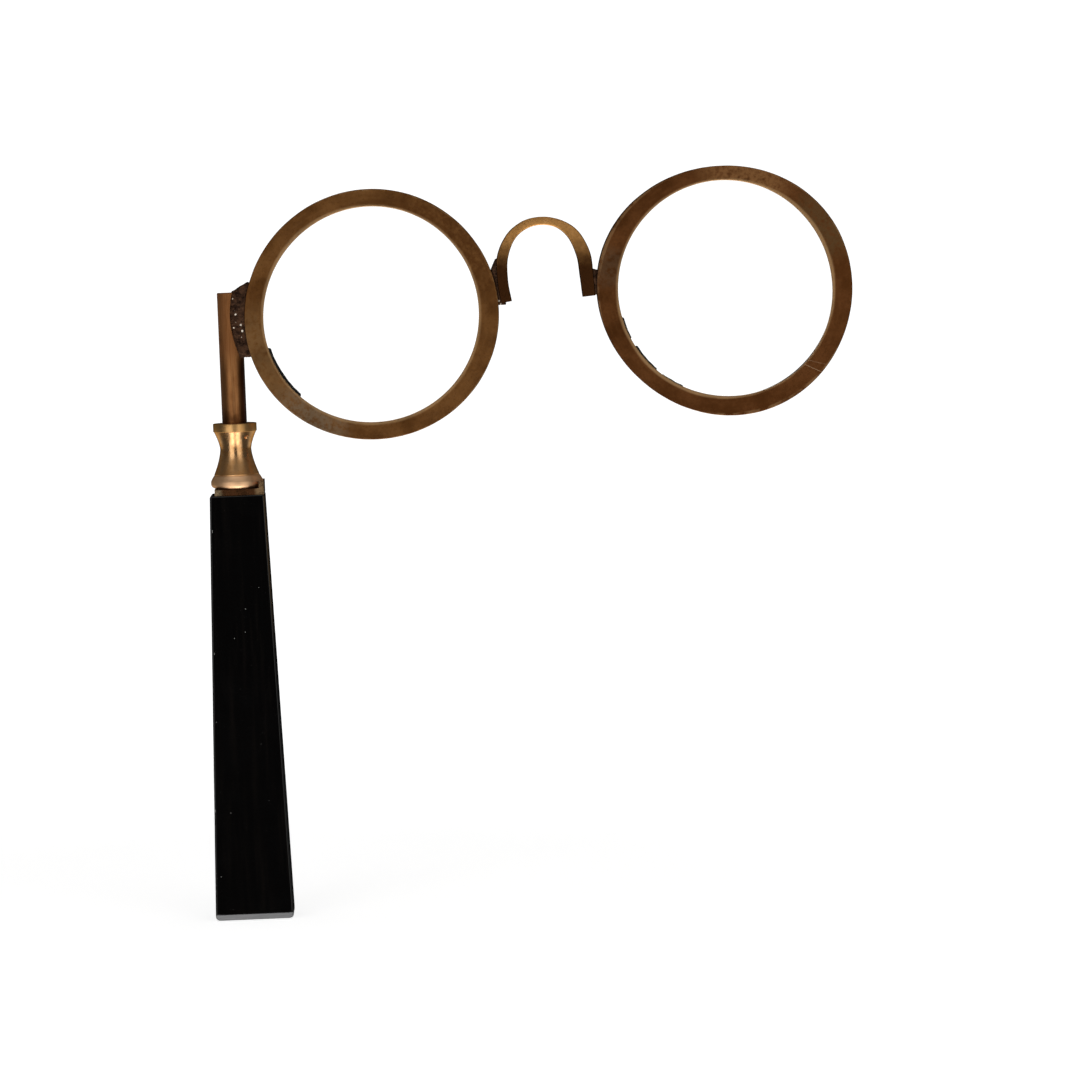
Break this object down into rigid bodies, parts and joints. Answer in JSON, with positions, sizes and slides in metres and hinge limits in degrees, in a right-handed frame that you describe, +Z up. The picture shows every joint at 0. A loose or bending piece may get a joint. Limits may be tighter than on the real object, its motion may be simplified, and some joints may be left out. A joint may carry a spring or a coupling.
{
  "type": "lorgnette",
  "caption": "Hand-held lorgnette: round brass-rimmed lenses joined by an arched bridge, held by a stem and turned ferrule on a tapered black side handle.",
  "frame": {"origin": "middle of the flat butt at the bottom of the handle", "axes": "+Z runs up the handle towards the lenses, +X from the handle's side to the far rim, and the front of the lenses faces -Y"},
  "size_m": [0.1596, 0.0126, 0.1779],
  "materials": {
    "aged_brass": "brushed, with a brown patina and edges worn lighter",
    "bright_brass": "turned and polished, lightly tarnished",
    "dark_solder": "rough, pitted and oxidised, with pale flux specks",
    "steel": "plain drawn rod",
    "lens_glass": "clear and polished",
    "gasket_rubber": "matte black",
    "black_horn": "polished black with fine scratches, a horn or wood look"
  },
  "bodies": {
    "root": {"left_rim": "aged_brass", "right_rim": "aged_brass", "left_lens": "lens_glass", "right_lens": "lens_glass", "left_lens_gasket": "gasket_rubber", "right_lens_gasket": "gasket_rubber", "left_retaining_ring": "aged_brass", "right_retaining_ring": "aged_brass", "bridge": "aged_brass", "left_bridge_solder": "dark_solder", "right_bridge_solder": "dark_solder", "stem": "aged_brass", "stem_solder": "dark_solder", "ferrule": "bright_brass", "ferrule_pin": "bright_brass", "handle_cap": "bright_brass", "handle_stud": "steel", "handle": "black_horn"}
  },
  "joints": []
}
